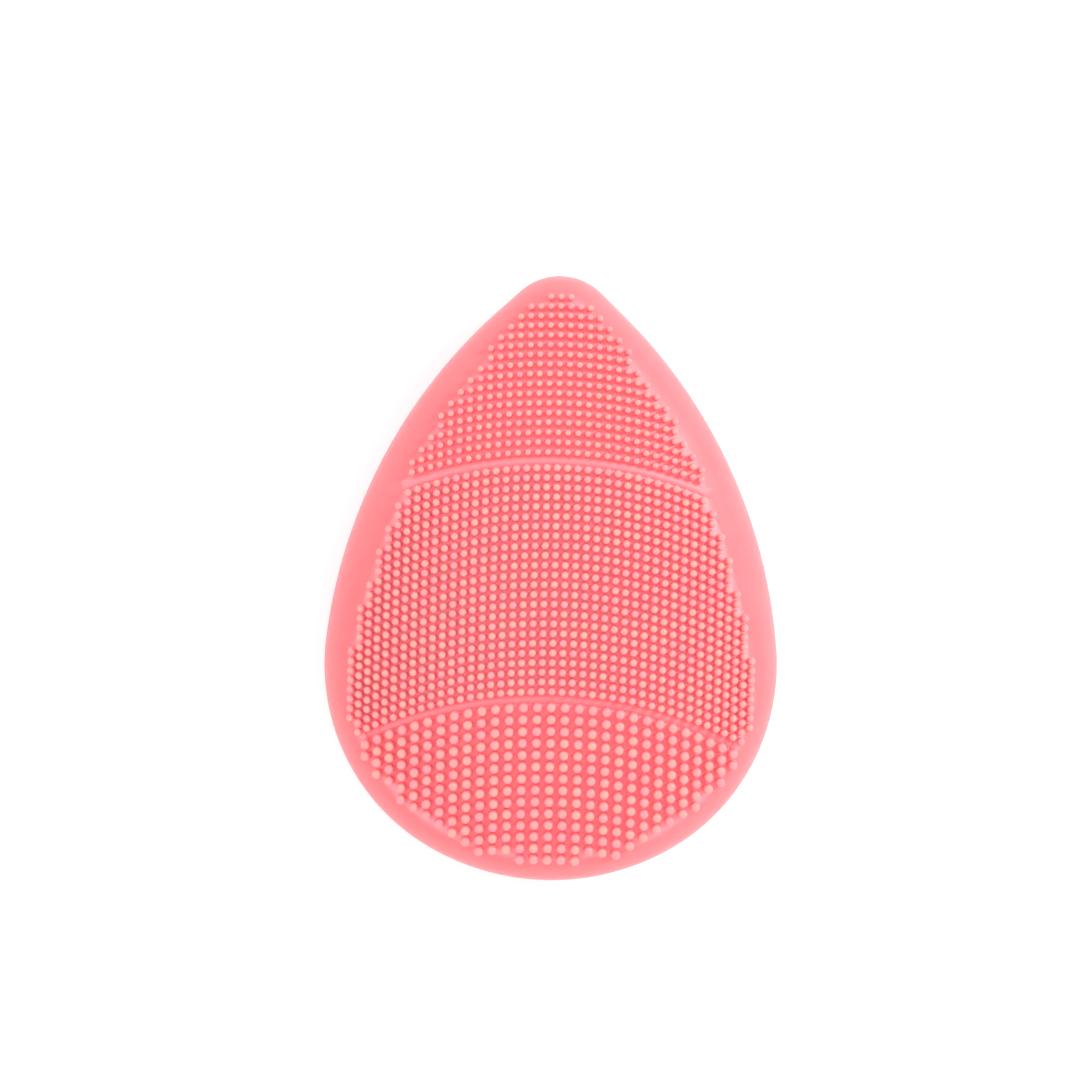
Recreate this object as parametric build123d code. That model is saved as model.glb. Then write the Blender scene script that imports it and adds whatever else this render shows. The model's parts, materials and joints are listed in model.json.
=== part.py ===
from build123d import *
import math
import os

# A hand-held sonic facial cleansing brush: a teardrop pod in two silicone skins over two hard
# housing halves, with a bristled face, three buttons in the flat back, a vibration motor under
# the tip, and a battery over the circuit board in the wide end.  The bristles are moulded in one
# with the front skin, and are kept as three groups of stems rooted in it, one to each field.
#
# Millimetres.  The brush lies on the flat of its back: +Z is the way the bristles point, +Y runs
# to the tip, +X is to the right, and the origin is on the resting plane under the middle.

# ------------------------------------------------------------------ outline, seen from the front
# Tangent arcs down the right side, from the tip to the foot: (radius, degrees turned).
# A negative radius is hollow.  The foot's arc closes the chain on the centre line.
OUTLINE_ARCS = ((10.0, 44.7), (-200.0, 1.4), (90.8, 40.3), (35.3, 68.2))

# ------------------------------------------------------------------ pod
THICKNESS = 28.8            # rest plane to the crown of the front skin, without bristles
FRONT_CROSS_RADIUS = 66.0   # dome of the bristled face, across and along
FRONT_LONG_RADIUS = 200.0
FRONT_RIM_RADIUS = 7.5
REAR_RIM_RADIUS = 9.5       # the back is flat inside this rim
PARTING_Z = 10.6            # plane where front and rear pieces meet
SKIN = 1.8                  # silicone
WALL = 2.0                  # hard housing under it
CAVITY = SKIN + WALL        # inset of the inside of the housing
FLOOR_ROOT_Z = CAVITY - 0.3  # posts and ribs are rooted in the floor by this much
SEAM_ROUND = 0.3

# ------------------------------------------------------------------ bristles
# name: crest of the first row, rows, row pitch, column pitch, bow radius, stem radius, height
FINE = (46.92, 17, 1.625, 1.642, 76.7, 0.52, 2.2)
MEDIUM = (18.3, 24, 1.601, 1.68, 67.4, 0.62, 2.4)
COARSE = (-21.17, 14, 1.966, 2.295, 67.2, 0.79, 2.6)
ROOT = 0.8                  # how deep a stem is rooted in the skin
# bare margin between the rim and the outermost bristles, at places along the brush: (y, margin)
MARGIN = ((-52.0, 3.6), (-24.0, 3.65), (-12.0, 5.0), (-5.0, 5.4), (0.0, 5.95), (14.0, 5.85), (17.5, 5.05),
          (26.0, 5.03), (35.0, 4.6), (37.5, 4.25), (45.0, 3.6), (52.0, 3.6))
# low ridges between the fields: crest on the centre line, bow radius
RIDGES = ((19.6, 71.0), (-19.8, 67.3))
RIDGE_WIDTH = 1.1
RIDGE_HEIGHT = 0.5
RIDGE_MARGIN = 5.2

# ------------------------------------------------------------------ case screws and seal
CASE_SCREWS = ((0.0, 42.5), (22.0, 14.0), (-22.0, 14.0), (22.0, -34.0), (-22.0, -34.0))
CASE_SCREW_RADIUS = 1.0
CASE_HEAD_RADIUS = 2.0
CASE_HEAD_HEIGHT = 1.4
CASE_SEAT_Z = 6.0
CASE_SHANK = 9.5
REAR_BOSS_RADIUS = 3.4
FRONT_BOSS_RADIUS = 2.2
SEAL_INSETS = (2.4, 3.2)
SEAL_HALF_HEIGHT = 0.4

# ------------------------------------------------------------------ circuit board
BOARD_BOTTOM_Z = 7.4
BOARD_THICKNESS = 1.0
BOARD_TOP_Z = BOARD_BOTTOM_Z + BOARD_THICKNESS
BOARD_WIDTH = 36.0
BOARD_ENDS = (-37.0, 5.0)
BOARD_SCREWS = ((15.5, -34.5), (-15.5, -34.5), (15.5, 2.5), (-15.5, 2.5))
SMALL_SCREW_RADIUS = 0.8
SMALL_HEAD_RADIUS = 1.5
SMALL_HEAD_HEIGHT = 1.0
BOARD_SHANK = 3.0
POST_RADIUS = 2.0

# ------------------------------------------------------------------ buttons and switches
# name: x, y, cap radius
BUTTONS = {"power": (0.0, -14.0, 4.6), "plus": (11.0, -14.0, 3.2), "minus": (-11.0, -14.0, 3.2)}
BUTTON_FACE_Z = 0.4         # recessed, so the brush never rests on a button
BUTTON_TRAVEL = 0.35
BUTTON_CLEARANCE = 0.2
FLANGE_LIP = 0.8
FLANGE_Z = (3.9, 4.6)
STEM_RADIUS = 1.2
STEM_TOP_Z = 5.45
ICON_DEPTH = 0.2
ICON_WIDTH = 0.5
RUNNING_CLEARANCE = 0.05
SWITCH_SIZE = 4.5
SWITCH_BOTTOM_Z = 5.9
PLUNGER_RADIUS = 0.9
PLUNGER_BOTTOM_Z = 5.5
PLUNGER_TOP_Z = 6.9
BOOT_TOP_Z = 5.3

# ------------------------------------------------------------------ indicator lights
LIGHT_Y = -3.0
LIGHT_XS = (-3.0, 0.0, 3.0)
LIGHT_PIN_RADIUS = 0.6
LIGHT_FACE_Z = 0.5

# ------------------------------------------------------------------ battery
BATTERY_SIZE = (30.0, 38.0, 6.0)
BATTERY_CENTRE_Y = -14.0
TRAY_BOTTOM_Z = 10.6
TRAY_FLOOR = 1.0
TRAY_RIM = 2.4
TRAY_WALL = 1.2
FOAM_THICKNESS = 0.4
TRAY_POSTS = ((21.0, -28.0), (-21.0, -28.0), (21.0, 2.0), (-21.0, 2.0))
TRAY_SHANK = 3.5
TRAY_SEAT_Z = TRAY_BOTTOM_Z + TRAY_FLOOR
BATTERY_YS = (BATTERY_CENTRE_Y - BATTERY_SIZE[1] / 2, BATTERY_CENTRE_Y + BATTERY_SIZE[1] / 2)
BATTERY_BOTTOM_Z = TRAY_SEAT_Z + FOAM_THICKNESS
BATTERY_MIDDLE_Z = BATTERY_BOTTOM_Z + BATTERY_SIZE[2] / 2
CONNECTOR_CENTRE = (9.0, 0.5)
LEAD_RADIUS = 0.45

# ------------------------------------------------------------------ charging socket
SOCKET_Z = 7.4
SOCKET_BORE_RADIUS = 1.3    # takes a 2.5 mm pin plug
SOCKET_BORE_DEPTH = 9.0
SOCKET_NOSE_RADIUS = 1.9
SOCKET_BODY_RADIUS = 2.4
SOCKET_MOUTH_Y = -50.0
SOCKET_SHOULDER_Y = -43.6
SOCKET_END_Y = -37.6
SOCKET_OPENING_RADIUS = 2.3
SOCKET_CRADLE_YS = (-42.5, -39.0)
SOCKET_CRADLE_HALF_WIDTH = 3.8

# ------------------------------------------------------------------ vibration motor, along Y
MOTOR_Z = 13.0
CAN_RADIUS = 6.0
CAN_WALL = 0.5
CAN_ENDS = (10.5, 27.0)
END_CAP_Y = 9.0
SHAFT_RADIUS = 0.75
SHAFT_ENDS = (9.4, 36.0)
SHAFT_CLEARANCE = 0.03
BUSH_RADIUS = 2.0
BUSH_LENGTH = 1.8
MAGNET_ENDS = (13.0, 25.0)
MAGNET_INNER_RADIUS = 4.4
MAGNET_GAP_HALF_WIDTH = 1.6
ARMATURE_RADIUS = 4.0
ARMATURE_ENDS = (13.6, 24.4)
COMMUTATOR_RADIUS = 1.8
COMMUTATOR_ENDS = (11.4, 13.4)
WEIGHT_RADIUS = 5.0
WEIGHT_ENDS = (29.2, 35.2)
WEIGHT_HUB_RADIUS = 1.9
DAMPER_RADIUS = 7.0
DAMPER_ENDS = (12.0, 25.5)
CRADLE_YS = (14.5, 23.0)
CRADLE_THICKNESS = 2.2
CRADLE_HALF_WIDTH = 11.0
CLAMP_THICKNESS = 1.2
CLAMP_SCREW_X = 9.4
CLAMP_SHANK = 4.0
CLAMP_SCREW_RADIUS = 0.7
CLAMP_HEAD_RADIUS = 1.1
CLAMP_HEAD_HEIGHT = 0.8

FAR = 100.0                 # longer than anything here


# ================================================================== shared shapes
def outline_arcs(inset=0.0):
    """Right half of the outline: (centre x, centre y, radius, side, heading in, heading out)."""
    arcs = []
    x, y, heading = 0.0, -inset, 0.0
    for radius, turn in OUTLINE_ARCS:
        side = 1 if radius > 0 else -1
        r = abs(radius) - side * inset
        cx = x + side * r * math.sin(heading)
        cy = y - side * r * math.cos(heading)
        leaving = heading - side * math.radians(turn)
        arcs.append((cx, cy, r, side, heading, leaving))
        x = cx - side * r * math.sin(leaving)
        y = cy + side * r * math.cos(leaving)
        heading = leaving
    foot = -x / math.sin(heading)
    arcs.append((0.0, y - foot * math.cos(heading), foot, 1, heading, -math.pi))
    return arcs


LENGTH = outline_arcs()[-1][2] - outline_arcs()[-1][1]
TIP_Y = LENGTH / 2
ARCS = [(cx, cy + TIP_Y, r, side, h0, h1) for cx, cy, r, side, h0, h1 in outline_arcs()]


def arc_point(arc, heading):
    cx, cy, r, side = arc[:4]
    return (cx - side * r * math.sin(heading), cy + side * r * math.cos(heading) + TIP_Y)


def outline_face(inset=0.0):
    with BuildSketch() as sketch:
        with BuildLine():
            for arc in outline_arcs(inset):
                start, end = arc[4], arc[5]
                ThreePointArc(arc_point(arc, start), arc_point(arc, (start + end) / 2), arc_point(arc, end))
            mirror(about=Plane.YZ)
        make_face()
    return sketch.sketch


def front_dome(inset=0.0):
    """Solid under the barrel-shaped face, `inset` below it."""
    half = 48.0
    reach = FRONT_CROSS_RADIUS - inset
    crown = THICKNESS - inset
    shoulder = THICKNESS - FRONT_CROSS_RADIUS + math.sqrt(reach**2 - half**2)
    base = -THICKNESS
    with BuildSketch(Plane.XZ) as sketch:
        with BuildLine():
            ThreePointArc((-half, shoulder), (0, crown), (half, shoulder))
            Polyline((half, shoulder), (half, base), (-half, base), (-half, shoulder))
        make_face()
    spin = Axis((0, 0, THICKNESS - FRONT_LONG_RADIUS), (1, 0, 0))
    return revolve(sketch.sketch, spin, 50.0).rotate(spin, -25.0)


PODS = {}


def pod(inset=0.0):
    """The whole rounded body, shrunk by `inset` all round."""
    if inset not in PODS:
        blank = Pos(0, 0, inset) * extrude(outline_face(inset), amount=THICKNESS)
        body = (blank & front_dome(inset)).solid()
        body = body.fillet(REAR_RIM_RADIUS - inset, body.faces().sort_by(Axis.Z)[0].edges())
        front_rim = [e for e in level_edges(body) if e.center().Z > PARTING_Z + 1]
        PODS[inset] = body.fillet(FRONT_RIM_RADIUS - inset, front_rim)
    return PODS[inset]


def level_edges(body):
    """The edges that run round the body, not up its side."""
    return [e for e in body.edges() if abs(e.tangent_at(0.5).Z) < 0.7]


def above(z=PARTING_Z):
    return Pos(0, 0, z + FAR / 2) * Box(2 * FAR, 2 * FAR, FAR)


def below(z=PARTING_Z):
    return Pos(0, 0, z - FAR / 2) * Box(2 * FAR, 2 * FAR, FAR)


def upright(x, y, radius, low, high):
    """A cylinder along Z."""
    return Pos(x, y, (low + high) / 2) * Cylinder(radius, high - low)


def along_y(radius, near, far, x=0.0, z=0.0):
    """A cylinder along Y."""
    return Pos(x, (near + far) / 2, z) * Rot(90, 0, 0) * Cylinder(radius, far - near)


def block(xs, ys, zs):
    """A box from its two limits along each axis."""
    centre = [(pair[0] + pair[1]) / 2 for pair in (xs, ys, zs)]
    size = [pair[1] - pair[0] for pair in (xs, ys, zs)]
    return Pos(*centre) * Box(*size)


def screw(x, y, seat, shank_radius, shank, head_radius, head, head_up):
    """A cross-head screw.  The head sits on `seat`, above it or below it."""
    up = 1 if head_up else -1
    shank_ends = sorted((seat, seat - up * shank))
    head_ends = sorted((seat, seat + up * head))
    body = upright(x, y, shank_radius, *shank_ends) + upright(x, y, head_radius, *head_ends)
    outer = head_ends[1] if head_up else head_ends[0]
    slot = 0.3 * head_radius
    cross = Box(1.3 * head_radius, slot, head) + Box(slot, 1.3 * head_radius, head)
    return body - Pos(x, y, outer) * cross


def group(shapes):
    """Separate solids kept together in one node."""
    return Compound(children=[shape.solid() for shape in shapes])


def join(body, pieces):
    """Add the pieces one at a time."""
    for piece in pieces:
        body = body.fuse(piece).solid()
    return body


def carve(body, holes):
    """Cut the holes one at a time."""
    for hole in holes:
        body = body.cut(hole).solid()
    return body


# ================================================================== skins
def rim_distance(x, y):
    """Distance inwards from the outline, and the outward direction there."""
    best = None
    for cx, cy, r, side, start, end in ARCS:
        dx, dy = abs(x) - cx, y - cy
        away = math.hypot(dx, dy)
        heading = math.atan2(-side * dx, side * dy)
        if heading > 1e-9:
            heading -= 2 * math.pi
        if min(start, end) <= heading <= max(start, end):
            inwards = side * (r - away)
            if best is None or inwards < best[0]:
                best = (inwards, side * math.copysign(dx, x * dx) / away, side * dy / away)
    return best


def dome_height(x, y, inset=0.0):
    ring = FRONT_LONG_RADIUS - FRONT_CROSS_RADIUS
    reach = ring + math.sqrt((FRONT_CROSS_RADIUS - inset)**2 - x * x)
    return THICKNESS - FRONT_LONG_RADIUS + math.sqrt(reach**2 - y * y)


def face_height(x, y):
    """Height of the front skin: its dome, or the rounded rim round it."""
    inwards, out_x, out_y = rim_distance(x, y)
    short = FRONT_RIM_RADIUS - inwards
    cx, cy = x - short * out_x, y - short * out_y
    slope = cx * out_x / FRONT_CROSS_RADIUS + cy * out_y / FRONT_LONG_RADIUS
    if short <= FRONT_RIM_RADIUS * slope:
        return dome_height(x, y)
    return dome_height(cx, cy, FRONT_RIM_RADIUS) + math.sqrt(FRONT_RIM_RADIUS**2 - short**2)


def bare_margin(y):
    for (y0, m0), (y1, m1) in zip(MARGIN, MARGIN[1:]):
        if y0 <= y <= y1:
            return m0 + (m1 - m0) * (y - y0) / (y1 - y0)
    return MARGIN[0][1]


def field_places(field):
    """Where one field's bristles stand: bowed rows, and columns spaced evenly round the dome."""
    crest, rows, row_pitch, column_pitch, bow = field[:5]
    places = []
    for row in range(rows):
        row_crest = crest - row * row_pitch
        for column in range(-30, 31):
            x = FRONT_CROSS_RADIUS * math.sin(column * column_pitch / FRONT_CROSS_RADIUS)
            y = row_crest - (bow - math.sqrt(bow * bow - x * x))
            edge = rim_distance(x, y)
            if edge and edge[0] >= bare_margin(y):
                places.append((x, y))
    return places


def bristle(radius, height):
    """A round-ended stem standing on the origin, with its root below it."""
    with BuildSketch(Plane.XZ) as sketch:
        with BuildLine():
            Polyline((0, height), (0, -ROOT), (radius, -ROOT), (radius, height - radius))
            ThreePointArc((radius, height - radius),
                          (radius * math.sin(math.pi / 4), height - radius * (1 - math.sin(math.pi / 4))),
                          (0, height))
        make_face()
    return revolve(sketch.sketch, Axis.Z).solid()


def bristles(spec):
    stem = bristle(*spec[5:])
    return group([Pos(x, y, face_height(x, y)) * stem for x, y in field_places(spec)])


def ridge(crest, bow):
    """A low rounded band that follows the rows, raised from the dome."""
    ring = Circle(bow + RIDGE_WIDTH / 2) - Circle(bow - RIDGE_WIDTH / 2)
    band = Pos(0, crest - bow, 0) * extrude(ring, amount=THICKNESS + 5)
    inside = extrude(outline_face(RIDGE_MARGIN), amount=THICKNESS + 5)
    band = band & inside & block((-FAR, FAR), (crest - 0.4 * bow, FAR), (PARTING_Z, FAR))
    band = (band & front_dome(-RIDGE_HEIGHT)) - front_dome(0.5 * SKIN)
    band = band.solid()
    top = band.faces().sort_by(Axis.Z)[-1]
    return band.fillet(0.35, top.edges())


def front_cover():
    skin = ((pod() - pod(SKIN)) & above()).solid()
    skin = skin.fillet(SEAM_ROUND, parting_edges(skin))
    for crest, bow in RIDGES:
        skin = skin + ridge(crest, bow)
    return skin.solid()


def parting_edges(skin):
    """The outer edge where the two skins meet."""
    level = [e for e in level_edges(skin) if abs(e.center().Z - PARTING_Z) < 1e-3]
    return [e for e in level if edge_depth(e) < 0.5 * SKIN]


def edge_depth(edge):
    middle = edge.position_at(0.5)
    return rim_distance(middle.X, middle.Y)[0]


def rear_cover():
    skin = ((pod() - pod(SKIN)) & below()).solid()
    skin = skin.fillet(SEAM_ROUND, parting_edges(skin))
    holes = [upright(x, y, radius + BUTTON_CLEARANCE, -1, CAVITY) for x, y, radius in BUTTONS.values()]
    holes += [upright(x, LIGHT_Y, LIGHT_PIN_RADIUS, -1, CAVITY) for x in LIGHT_XS]
    holes.append(along_y(SOCKET_OPENING_RADIUS, -60, SOCKET_SHOULDER_Y, z=SOCKET_Z))
    return carve(skin, holes)


# ================================================================== housings
def seal_ring():
    outer, inner = SEAL_INSETS
    ring = extrude(outline_face(outer) - outline_face(inner), amount=2 * SEAL_HALF_HEIGHT)
    return Pos(0, 0, PARTING_Z - SEAL_HALF_HEIGHT) * ring


def housing_seal():
    return seal_ring()


def floor_post(x, y, radius, top):
    """A boss that grows from the rear housing wall."""
    return upright(x, y, radius, FLOOR_ROOT_Z, top)


def ceiling_post(x, y, radius, bottom):
    """A boss that grows from the front housing wall."""
    return upright(x, y, radius, bottom, dome_height(x, y, SKIN + 0.5 * WALL))


def front_housing():
    shell = ((pod(SKIN) - pod(CAVITY)) & above()).solid()
    shell = join(shell, [ceiling_post(x, y, FRONT_BOSS_RADIUS, PARTING_Z) for x, y in CASE_SCREWS])
    holes = [upright(x, y, CASE_SCREW_RADIUS, CASE_SEAT_Z, CASE_SEAT_Z + CASE_SHANK) for x, y in CASE_SCREWS]
    return carve(shell, holes + [seal_ring()])


def motor_cradle():
    """Two ribs with half-round seats for the motor's sleeve."""
    seat = along_y(DAMPER_RADIUS, DAMPER_ENDS[0], DAMPER_ENDS[1], z=MOTOR_Z)
    ribs = []
    for y in CRADLE_YS:
        ys = (y - CRADLE_THICKNESS / 2, y + CRADLE_THICKNESS / 2)
        ribs.append(block((-CRADLE_HALF_WIDTH, CRADLE_HALF_WIDTH), ys, (FLOOR_ROOT_Z, MOTOR_Z)) - seat)
    return ribs


def socket_cradle():
    """A rib with a half-round seat for the charging socket."""
    half = SOCKET_CRADLE_HALF_WIDTH
    rib = block((-half, half), SOCKET_CRADLE_YS, (FLOOR_ROOT_Z, SOCKET_Z))
    return rib - along_y(SOCKET_BODY_RADIUS, SOCKET_SHOULDER_Y, SOCKET_END_Y, z=SOCKET_Z)


def rear_housing():
    shell = ((pod(SKIN) - pod(CAVITY)) & below()).solid()
    bosses = [floor_post(x, y, REAR_BOSS_RADIUS, PARTING_Z) for x, y in CASE_SCREWS]
    bosses += [floor_post(x, y, POST_RADIUS, BOARD_BOTTOM_Z) for x, y in BOARD_SCREWS]
    bosses += [floor_post(x, y, POST_RADIUS, TRAY_BOTTOM_Z) for x, y in TRAY_POSTS]
    shell = join(shell, bosses + motor_cradle() + [socket_cradle()])
    return carve(shell, rear_housing_holes())


def rear_housing_holes():
    holes = []
    for x, y in CASE_SCREWS:
        pocket = upright(x, y, CASE_HEAD_RADIUS + 0.1, -1, CASE_SEAT_Z)
        holes.append(pocket + upright(x, y, CASE_SCREW_RADIUS + 0.1, -1, PARTING_Z + 1))
    for x, y in BOARD_SCREWS:
        holes.append(upright(x, y, SMALL_SCREW_RADIUS, BOARD_TOP_Z - BOARD_SHANK, BOARD_TOP_Z))
    for x, y in TRAY_POSTS:
        holes.append(upright(x, y, SMALL_SCREW_RADIUS, TRAY_SEAT_Z - TRAY_SHANK, TRAY_SEAT_Z))
    for x, y in clamp_screw_places():
        seat = MOTOR_Z + CLAMP_THICKNESS
        holes.append(upright(x, y, CLAMP_SCREW_RADIUS, seat - CLAMP_SHANK, seat))
    for x, y, radius in BUTTONS.values():
        holes.append(upright(x, y, radius + BUTTON_CLEARANCE, -1, CAVITY + 0.05))
    for x in LIGHT_XS:
        holes.append(upright(x, LIGHT_Y, LIGHT_PIN_RADIUS, -1, CAVITY + 0.05))
    holes.append(along_y(SOCKET_NOSE_RADIUS, -60, SOCKET_SHOULDER_Y, z=SOCKET_Z))
    holes.append(seal_ring())
    return holes


def case_screws():
    return group([screw(x, y, CASE_SEAT_Z, CASE_SCREW_RADIUS, CASE_SHANK, CASE_HEAD_RADIUS,
                        CASE_HEAD_HEIGHT, head_up=False) for x, y in CASE_SCREWS])


# ================================================================== circuit board
def circuit_board():
    board = block((-BOARD_WIDTH / 2, BOARD_WIDTH / 2), BOARD_ENDS, (BOARD_BOTTOM_Z, BOARD_TOP_Z))
    board = fillet(board.edges().filter_by(Axis.Z), 2.0)
    for x, y in BOARD_SCREWS:
        board = board - upright(x, y, SMALL_SCREW_RADIUS, 0, FAR)
    return board


def board_screws():
    return group([screw(x, y, BOARD_TOP_Z, SMALL_SCREW_RADIUS, BOARD_SHANK, SMALL_HEAD_RADIUS,
                        SMALL_HEAD_HEIGHT, head_up=True) for x, y in BOARD_SCREWS])


def on_board(x, y, size):
    """A block soldered to the top of the board."""
    return Pos(x, y, BOARD_TOP_Z + size[2] / 2) * Box(*size)


def controller_chip():
    chip = on_board(-7.0, -12.0, (7.0, 7.0, 0.9))
    return chamfer(chip.faces().sort_by(Axis.Z)[-1].edges(), 0.2)


def charging_chip():
    chip = on_board(7.0, -26.0, (4.0, 5.0, 1.4))
    return chamfer(chip.faces().sort_by(Axis.Z)[-1].edges(), 0.3)


def board_capacitors():
    places = ((-13, -12), (-13, -9), (-7, -5.5), (2, -26), (12, -26), (12, -22), (-3, -31), (0, -31))
    return group([on_board(x, y, (1.6, 0.9, 0.8)) for x, y in places])


def board_inductor():
    core = on_board(-8.0, -26.0, (4.2, 4.2, 1.8))
    return fillet(core.edges().filter_by(Axis.Z), 0.8)


def indicator_leds():
    high = BOARD_BOTTOM_Z
    return group([block((x - 0.8, x + 0.8), (LIGHT_Y - 0.4, LIGHT_Y + 0.4), (high - 0.6, high))
                  for x in LIGHT_XS])


def light_guide():
    bar = block((-4.5, 4.5), (LIGHT_Y - 1.3, LIGHT_Y + 1.3), (CAVITY, CAVITY + 0.9))
    for x in LIGHT_XS:
        bar = bar + upright(x, LIGHT_Y, LIGHT_PIN_RADIUS, LIGHT_FACE_Z, CAVITY)
    return bar


# ================================================================== buttons and switches
def icon(name):
    """Shallow mark in a button's face: a bar, a cross of bars, or a ring with a bar."""
    bar = Box(2.6, ICON_WIDTH, 2 * ICON_DEPTH)
    if name == "minus":
        return bar
    if name == "plus":
        return bar + Rot(0, 0, 90) * bar
    ring = Cylinder(1.7, 2 * ICON_DEPTH) - Cylinder(1.7 - ICON_WIDTH, 2 * ICON_DEPTH)
    gap = Pos(0, 1.5, 0) * Box(1.3, 2.0, 2 * ICON_DEPTH)
    return ring - gap + Pos(0, 1.4, 0) * Box(ICON_WIDTH, 1.8, 2 * ICON_DEPTH)


def button(name):
    x, y, radius = BUTTONS[name]
    cap = upright(x, y, radius, BUTTON_FACE_Z, FLANGE_Z[0])
    cap = fillet(cap.faces().sort_by(Axis.Z)[0].edges(), 0.5)
    cap = cap + upright(x, y, radius + FLANGE_LIP, *FLANGE_Z)
    cap = cap + upright(x, y, STEM_RADIUS, FLANGE_Z[1], STEM_TOP_Z)
    return cap - Pos(x, y, BUTTON_FACE_Z) * icon(name)


def button_boots():
    boots = []
    for x, y, radius in BUTTONS.values():
        flange = radius + FLANGE_LIP
        cup = upright(x, y, flange + 1.1, CAVITY, BOOT_TOP_Z)
        cup = cup - upright(x, y, flange + 0.3, CAVITY, BOOT_TOP_Z - 0.25)
        boots.append(cup - upright(x, y, STEM_RADIUS + RUNNING_CLEARANCE, CAVITY, FAR))
    return group(boots)


def switch_body(name):
    x, y, _ = BUTTONS[name]
    half = SWITCH_SIZE / 2
    body = block((x - half, x + half), (y - half, y + half), (SWITCH_BOTTOM_Z, BOARD_BOTTOM_Z))
    room = PLUNGER_TOP_Z + BUTTON_TRAVEL + RUNNING_CLEARANCE
    return body - upright(x, y, PLUNGER_RADIUS + RUNNING_CLEARANCE, SWITCH_BOTTOM_Z, room)


def switch_plunger(name):
    x, y, _ = BUTTONS[name]
    return upright(x, y, PLUNGER_RADIUS, PLUNGER_BOTTOM_Z, PLUNGER_TOP_Z)


# ================================================================== battery
def battery_tray():
    half = BATTERY_SIZE[0] / 2 + 0.3
    ys = (BATTERY_YS[0] - 0.3, BATTERY_YS[1] + 0.3)
    outer = block((-half - TRAY_WALL, half + TRAY_WALL), (ys[0] - TRAY_WALL, ys[1] + TRAY_WALL),
                  (TRAY_BOTTOM_Z, TRAY_SEAT_Z + TRAY_RIM))
    tray = outer - block((-half, half), ys, (TRAY_SEAT_Z, FAR))
    for x, y in TRAY_POSTS:
        ear = upright(x, y, 2.4, TRAY_BOTTOM_Z, TRAY_SEAT_Z)
        inner_x = math.copysign(half, x)
        arm = block(sorted((inner_x, x)), (y - 2.4, y + 2.4), (TRAY_BOTTOM_Z, TRAY_SEAT_Z))
        tray = tray + ear + arm
    for x, y in TRAY_POSTS:
        tray = tray - upright(x, y, SMALL_SCREW_RADIUS, TRAY_BOTTOM_Z, TRAY_SEAT_Z)
    return tray


def tray_screws():
    return group([screw(x, y, TRAY_SEAT_Z, SMALL_SCREW_RADIUS, TRAY_SHANK, SMALL_HEAD_RADIUS,
                        SMALL_HEAD_HEIGHT, head_up=True) for x, y in TRAY_POSTS])


def battery_foam():
    half = BATTERY_SIZE[0] / 2 - 2
    return block((-half, half), (BATTERY_YS[0] + 2, BATTERY_YS[1] - 2), (TRAY_SEAT_Z, BATTERY_BOTTOM_Z))


def battery_cell():
    cell = Pos(0, BATTERY_CENTRE_Y, BATTERY_MIDDLE_Z) * Box(*BATTERY_SIZE)
    cell = fillet(cell.edges().filter_by(Axis.Y), 1.5)
    return cell


def battery_connector():
    x, y = CONNECTOR_CENTRE
    return on_board(x, y, (6.0, 4.5, 1.8))


def battery_lead(x):
    """From the cell's end, down past the tray and back into the connector."""
    low = BOARD_TOP_Z + 2 * LEAD_RADIUS
    turn_y = BATTERY_YS[1] + 3.4
    route = [(x, BATTERY_YS[1], BATTERY_MIDDLE_Z), (x, turn_y, BATTERY_MIDDLE_Z), (x, turn_y, low),
             (x, CONNECTOR_CENTRE[1] + 2.25, low)]
    path = FilletPolyline(*route, radius=2.2)
    start = Plane(origin=route[0], z_dir=(0, 1, 0))
    return sweep(start * Circle(LEAD_RADIUS), path)


def lead_pair(maker):
    return {"red": maker(CONNECTOR_CENTRE[0] + 1.2), "black": maker(CONNECTOR_CENTRE[0] - 1.2)}


# ================================================================== charging socket
def charging_socket():
    body = along_y(SOCKET_BODY_RADIUS, SOCKET_SHOULDER_Y, SOCKET_END_Y, z=SOCKET_Z)
    body = body + along_y(SOCKET_NOSE_RADIUS, SOCKET_MOUTH_Y, SOCKET_SHOULDER_Y, z=SOCKET_Z)
    return body - along_y(SOCKET_BORE_RADIUS, -60, SOCKET_MOUTH_Y + SOCKET_BORE_DEPTH, z=SOCKET_Z)


def socket_contacts():
    z = BOARD_TOP_Z + 0.4
    return group([block((x - 0.4, x + 0.4), (SOCKET_END_Y, SOCKET_END_Y + 0.8), (z - 0.4, z + 0.4))
                  for x in (-1.1, 1.1)])


def socket_leads():
    z = BOARD_TOP_Z + 0.4
    return group([along_y(0.4, SOCKET_END_Y + 0.8, SOCKET_END_Y + 4.0, x=x, z=z) for x in (-1.1, 1.1)])


def socket_seal():
    ring = along_y(SOCKET_BODY_RADIUS, -49.0, SOCKET_SHOULDER_Y, z=SOCKET_Z)
    ring = ring - along_y(SOCKET_NOSE_RADIUS, -49.0, SOCKET_SHOULDER_Y, z=SOCKET_Z)
    return ring & pod(CAVITY)


# ================================================================== vibration motor
def motor_can():
    can = along_y(CAN_RADIUS, *CAN_ENDS, z=MOTOR_Z)
    can = fillet(can.faces().sort_by(Axis.Y)[-1].edges(), 0.6)
    can = can - along_y(CAN_RADIUS - CAN_WALL, CAN_ENDS[0], CAN_ENDS[1] - CAN_WALL, z=MOTOR_Z)
    return can - along_y(BUSH_RADIUS, CAN_ENDS[0], CAN_ENDS[1], z=MOTOR_Z)


def motor_end_cap():
    cap = along_y(CAN_RADIUS, END_CAP_Y, CAN_ENDS[0], z=MOTOR_Z)
    cap = cap - along_y(BUSH_RADIUS, END_CAP_Y + 0.6, CAN_ENDS[0], z=MOTOR_Z)
    return cap - along_y(SHAFT_RADIUS + 0.3, END_CAP_Y + 0.3, CAN_ENDS[0], z=MOTOR_Z)


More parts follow.
